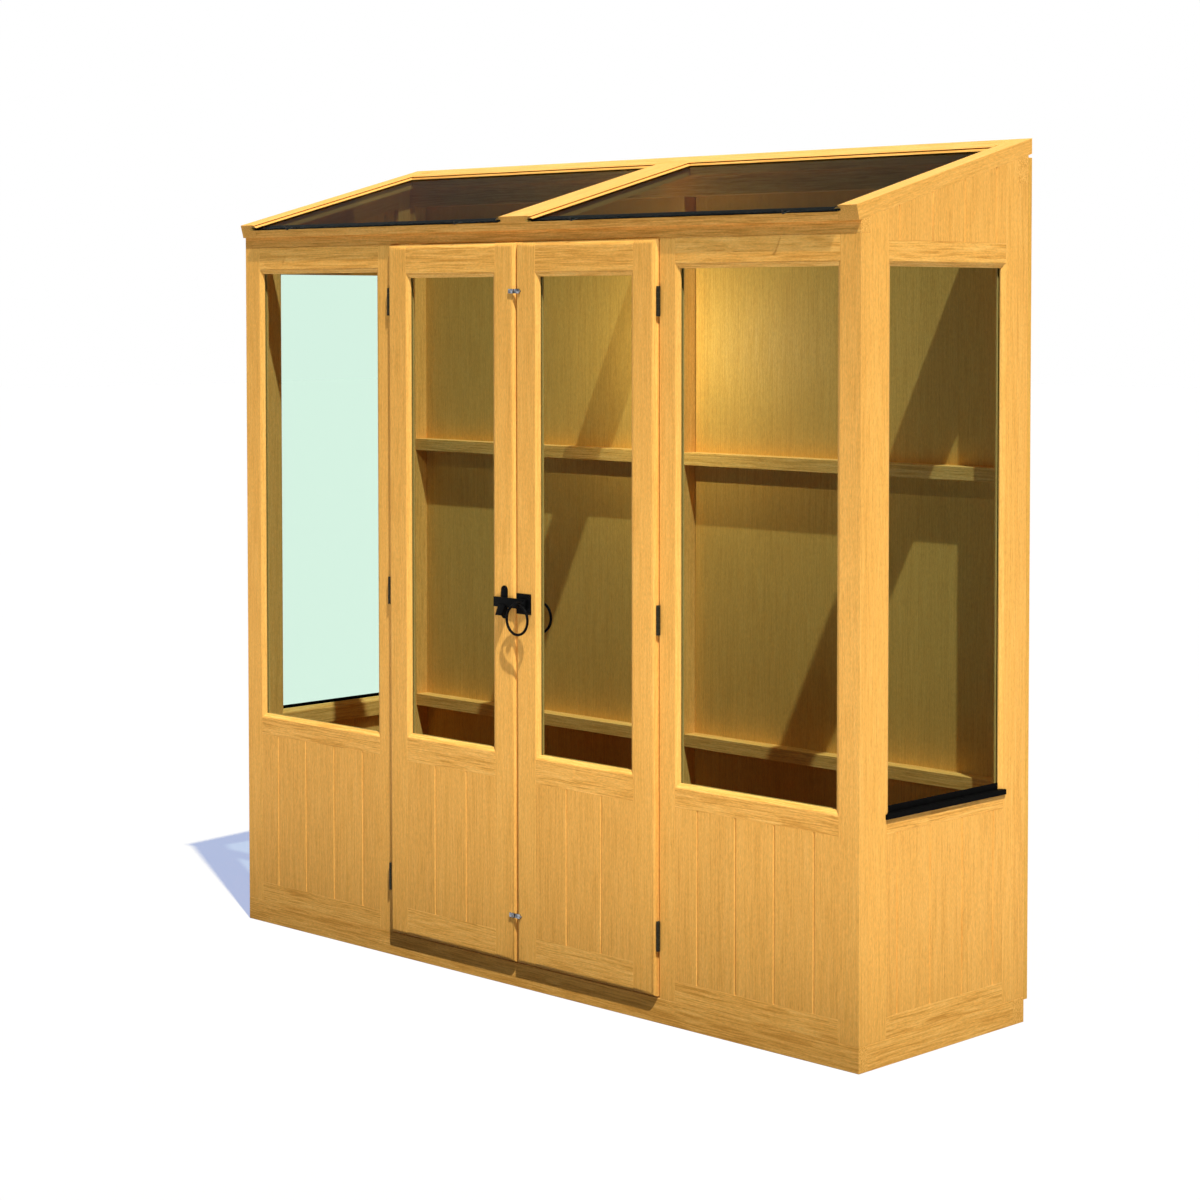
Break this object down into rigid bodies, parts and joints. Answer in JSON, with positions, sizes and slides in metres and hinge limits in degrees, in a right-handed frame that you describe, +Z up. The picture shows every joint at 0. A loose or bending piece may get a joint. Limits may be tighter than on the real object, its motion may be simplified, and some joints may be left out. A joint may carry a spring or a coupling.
{
  "type": "lean-to greenhouse",
  "caption": "Tall shallow wooden lean-to greenhouse with a sloping glazed roof, glazed sides and front, hinged front doors with a ring latch and a boarded back.",
  "frame": {"origin": "on the ground, under the middle of the whole object's box", "axes": "+Z up, the doors face -Y, +X is to the right seen from the front"},
  "size_m": [1.98, 0.605, 1.8843],
  "materials": {
    "frame_timber": "oiled, planed",
    "board_timber": "oiled, planed",
    "bead_timber": "oiled, planed",
    "greenhouse_glass": "clear, faint green",
    "black_iron": "satin black",
    "hinge_steel": "dark passivated",
    "zinc_plate": "zinc plated",
    "black_plastic": "satin",
    "clip_steel": "dark"
  },
  "bodies": {
    "frame": {"back_boards": "board_timber", "back_posts": "frame_timber", "back_rails": "frame_timber", "base_rails": "frame_timber", "frame_hinge_leaves": "hinge_steel", "frame_screws": "zinc_plate", "front_beads": "bead_timber", "front_head_rail": "frame_timber", "front_panes": "greenhouse_glass", "front_rails": "frame_timber", "hinge_pins": "hinge_steel", "left_corner_stile": "frame_timber", "left_door_jamb": "frame_timber", "left_front_boards": "board_timber", "left_side_boards": "board_timber", "raked_rails": "frame_timber", "right_corner_stile": "frame_timber", "right_door_jamb": "frame_timber", "right_front_boards": "board_timber", "right_side_boards": "board_timber", "roof_back_rail": "frame_timber", "roof_centre_rail": "frame_timber", "roof_eave_strips": "black_plastic", "roof_front_rail": "frame_timber", "roof_left_rail": "frame_timber", "roof_pane_clips": "clip_steel", "roof_panes": "greenhouse_glass", "roof_right_rail": "frame_timber", "side_beads": "bead_timber", "side_panes": "greenhouse_glass", "side_rails": "frame_timber", "side_sill_bars": "black_plastic", "side_stiles": "frame_timber"},
    "left_door": {"latch_keeper": "black_iron", "bolt_keeps": "zinc_plate", "left_hinge_leaves": "hinge_steel", "left_screws": "zinc_plate", "left_door_beads": "bead_timber", "left_door_boards": "board_timber", "left_door_hinge_stile": "frame_timber", "left_door_lock_stile": "frame_timber", "left_door_pane": "greenhouse_glass", "left_door_rails": "frame_timber"},
    "right_door": {"latch_plates": "black_iron", "bolt_cases": "zinc_plate", "right_hinge_leaves": "hinge_steel", "right_screws": "zinc_plate", "right_door_beads": "bead_timber", "right_door_boards": "board_timber", "right_door_hinge_stile": "frame_timber", "right_door_lock_stile": "frame_timber", "right_door_pane": "greenhouse_glass", "right_door_rails": "frame_timber"},
    "latch": {"latch_bar": "black_iron"},
    "outer_ring": {"outer_ring": "black_iron"},
    "inner_ring": {"inner_ring": "black_iron"},
    "top_bolt": {"top_bolt": "zinc_plate"},
    "bottom_bolt": {"bottom_bolt": "zinc_plate"}
  },
  "joints": [
    {"name": "left_door_swing", "type": "hinge", "parent": "frame", "child": "left_door", "pos_m": [-0.436, -0.2665, 0.864], "axis": [0, 0, -1], "range_deg": [0, 160]},
    {"name": "right_door_swing", "type": "hinge", "parent": "frame", "child": "right_door", "pos_m": [0.436, -0.2665, 0.864], "axis": [0, 0, 1], "range_deg": [0, 160]},
    {"name": "latch_turn", "type": "hinge", "parent": "right_door", "child": "latch", "pos_m": [0.03, -0.2615, 0.868], "axis": [0, 1, 0], "range_deg": [0, 25]},
    {"name": "outer_ring_swing", "type": "hinge", "parent": "latch", "child": "outer_ring", "pos_m": [0.03, -0.2955, 0.868], "axis": [-1, 0, 0], "range_deg": [0, 110]},
    {"name": "inner_ring_swing", "type": "hinge", "parent": "latch", "child": "inner_ring", "pos_m": [0.03, -0.2235, 0.868], "axis": [1, 0, 0], "range_deg": [0, 110]},
    {"name": "top_bolt_slide", "type": "slide", "parent": "right_door", "child": "top_bolt", "axis": [1, 0, 0], "range_m": [0, 0.012]},
    {"name": "bottom_bolt_slide", "type": "slide", "parent": "right_door", "child": "bottom_bolt", "axis": [1, 0, 0], "range_m": [0, 0.012]}
  ]
}
